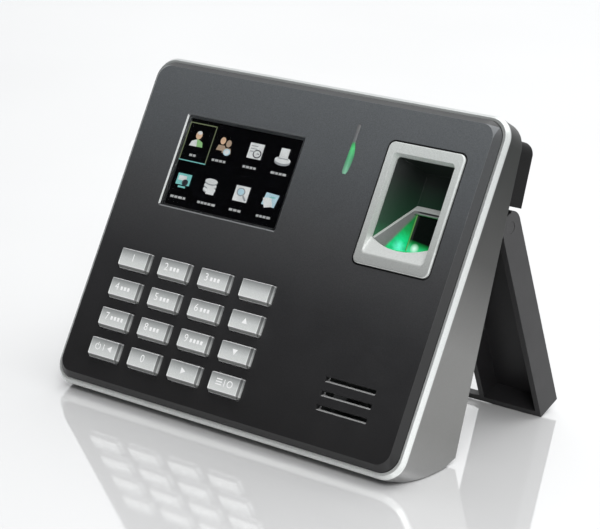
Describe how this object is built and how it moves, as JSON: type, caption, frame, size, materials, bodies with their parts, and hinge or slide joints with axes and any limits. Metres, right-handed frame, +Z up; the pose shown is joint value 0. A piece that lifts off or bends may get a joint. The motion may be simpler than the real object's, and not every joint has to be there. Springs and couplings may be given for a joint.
{
  "type": "fingerprint scanner terminal",
  "caption": "Desk-standing fingerprint and keypad terminal: leaning wedge case with display, finger recess, sprung keys, speaker slots and a fold-out rear stand.",
  "frame": {"origin": "on the table, under the middle of the object's box", "axes": "+X to the right along the face's width, +Y to the rear, +Z up"},
  "size_m": [0.185, 0.115, 0.1329],
  "materials": {
    "black_textured": "fine textured",
    "silver_body": "satin silver paint",
    "black_satin": "satin",
    "clear_lens": "polished",
    "display_glass": "gloss",
    "steel": "brushed",
    "light_guide": "frosted",
    "led": "gloss",
    "grille_grey": "satin paint",
    "speaker_black": "matte",
    "silver_trim": "satin silver paint",
    "sensor_black": "satin",
    "silver_cradle": "satin silver paint",
    "sensor_glass": "polished",
    "circuit_board": "solder mask",
    "keypad_rubber": "matte",
    "chip_black": "matte",
    "socket_steel": "plated",
    "socket_black": "satin",
    "ribbon_film": "film",
    "screw_steel": "plated",
    "foot_rubber": "matte",
    "stand_black": "satin",
    "pin_steel": "blackened",
    "bracket_steel": "plated",
    "key_silver": "satin silver paint"
  },
  "bodies": {
    "housing": {"front_panel": "black_textured", "housing_frame": "silver_body", "rear_cover": "black_satin", "display_lens": "clear_lens", "lcd_panel": "display_glass", "lcd_frame": "steel", "light_pipe": "light_guide", "status_led": "led", "speaker": "speaker_black", "speaker_grille": "grille_grey", "fingerprint_bezel": "silver_trim", "sensor_body": "sensor_black", "finger_cradle": "silver_cradle", "sensor_glass": "sensor_glass", "sensor_board": "circuit_board", "keypad_mat": "keypad_rubber", "keypad_board": "circuit_board", "main_board": "circuit_board", "board_chips": "chip_black", "usb_socket": "socket_steel", "power_jack": "socket_black", "coin_cell": "steel", "coin_cell_holder": "chip_black", "keypad_ribbon": "ribbon_film", "display_ribbon": "ribbon_film", "sensor_ribbon": "ribbon_film", "housing_screws": "screw_steel", "board_screws": "screw_steel", "rubber_feet": "foot_rubber", "hinge_brackets": "bracket_steel"},
    "stand": {"stand_frame": "stand_black", "stand_foot_pads": "foot_rubber", "hinge_pins": "pin_steel"},
    "key_1_cap": {"key_1": "key_silver"},
    "key_2_cap": {"key_2": "key_silver"},
    "key_3_cap": {"key_3": "key_silver"},
    "key_back_cap": {"key_back": "key_silver"},
    "key_4_cap": {"key_4": "key_silver"},
    "key_5_cap": {"key_5": "key_silver"},
    "key_6_cap": {"key_6": "key_silver"},
    "key_up_cap": {"key_up": "key_silver"},
    "key_7_cap": {"key_7": "key_silver"},
    "key_8_cap": {"key_8": "key_silver"},
    "key_9_cap": {"key_9": "key_silver"},
    "key_down_cap": {"key_down": "key_silver"},
    "key_left_cap": {"key_left": "key_silver"},
    "key_0_cap": {"key_0": "key_silver"},
    "key_right_cap": {"key_right": "key_silver"},
    "key_enter_cap": {"key_enter": "key_silver"}
  },
  "joints": [
    {"name": "stand_hinge", "type": "hinge", "parent": "housing", "child": "stand", "pos_m": [0, 0.01751, 0.0889], "axis": [1, 0, 0], "range_deg": [-39.5, 0]},
    {"name": "key_1_press", "type": "slide", "parent": "housing", "child": "key_1_cap", "axis": [0, 0.8721, -0.4894], "range_m": [0, 0.0011], "stiffness_N_per_m": 350, "springref_m": -0.0006},
    {"name": "key_2_press", "type": "slide", "parent": "housing", "child": "key_2_cap", "axis": [0, 0.8721, -0.4894], "range_m": [0, 0.0011], "stiffness_N_per_m": 350, "springref_m": -0.0006},
    {"name": "key_3_press", "type": "slide", "parent": "housing", "child": "key_3_cap", "axis": [0, 0.8721, -0.4894], "range_m": [0, 0.0011], "stiffness_N_per_m": 350, "springref_m": -0.0006},
    {"name": "key_back_press", "type": "slide", "parent": "housing", "child": "key_back_cap", "axis": [0, 0.8721, -0.4894], "range_m": [0, 0.0011], "stiffness_N_per_m": 350, "springref_m": -0.0006},
    {"name": "key_4_press", "type": "slide", "parent": "housing", "child": "key_4_cap", "axis": [0, 0.8721, -0.4894], "range_m": [0, 0.0011], "stiffness_N_per_m": 350, "springref_m": -0.0006},
    {"name": "key_5_press", "type": "slide", "parent": "housing", "child": "key_5_cap", "axis": [0, 0.8721, -0.4894], "range_m": [0, 0.0011], "stiffness_N_per_m": 350, "springref_m": -0.0006},
    {"name": "key_6_press", "type": "slide", "parent": "housing", "child": "key_6_cap", "axis": [0, 0.8721, -0.4894], "range_m": [0, 0.0011], "stiffness_N_per_m": 350, "springref_m": -0.0006},
    {"name": "key_up_press", "type": "slide", "parent": "housing", "child": "key_up_cap", "axis": [0, 0.8721, -0.4894], "range_m": [0, 0.0011], "stiffness_N_per_m": 350, "springref_m": -0.0006},
    {"name": "key_7_press", "type": "slide", "parent": "housing", "child": "key_7_cap", "axis": [0, 0.8721, -0.4894], "range_m": [0, 0.0011], "stiffness_N_per_m": 350, "springref_m": -0.0006},
    {"name": "key_8_press", "type": "slide", "parent": "housing", "child": "key_8_cap", "axis": [0, 0.8721, -0.4894], "range_m": [0, 0.0011], "stiffness_N_per_m": 350, "springref_m": -0.0006},
    {"name": "key_9_press", "type": "slide", "parent": "housing", "child": "key_9_cap", "axis": [0, 0.8721, -0.4894], "range_m": [0, 0.0011], "stiffness_N_per_m": 350, "springref_m": -0.0006},
    {"name": "key_down_press", "type": "slide", "parent": "housing", "child": "key_down_cap", "axis": [0, 0.8721, -0.4894], "range_m": [0, 0.0011], "stiffness_N_per_m": 350, "springref_m": -0.0006},
    {"name": "key_left_press", "type": "slide", "parent": "housing", "child": "key_left_cap", "axis": [0, 0.8721, -0.4894], "range_m": [0, 0.0011], "stiffness_N_per_m": 350, "springref_m": -0.0006},
    {"name": "key_0_press", "type": "slide", "parent": "housing", "child": "key_0_cap", "axis": [0, 0.8721, -0.4894], "range_m": [0, 0.0011], "stiffness_N_per_m": 350, "springref_m": -0.0006},
    {"name": "key_right_press", "type": "slide", "parent": "housing", "child": "key_right_cap", "axis": [0, 0.8721, -0.4894], "range_m": [0, 0.0011], "stiffness_N_per_m": 350, "springref_m": -0.0006},
    {"name": "key_enter_press", "type": "slide", "parent": "housing", "child": "key_enter_cap", "axis": [0, 0.8721, -0.4894], "range_m": [0, 0.0011], "stiffness_N_per_m": 350, "springref_m": -0.0006}
  ]
}
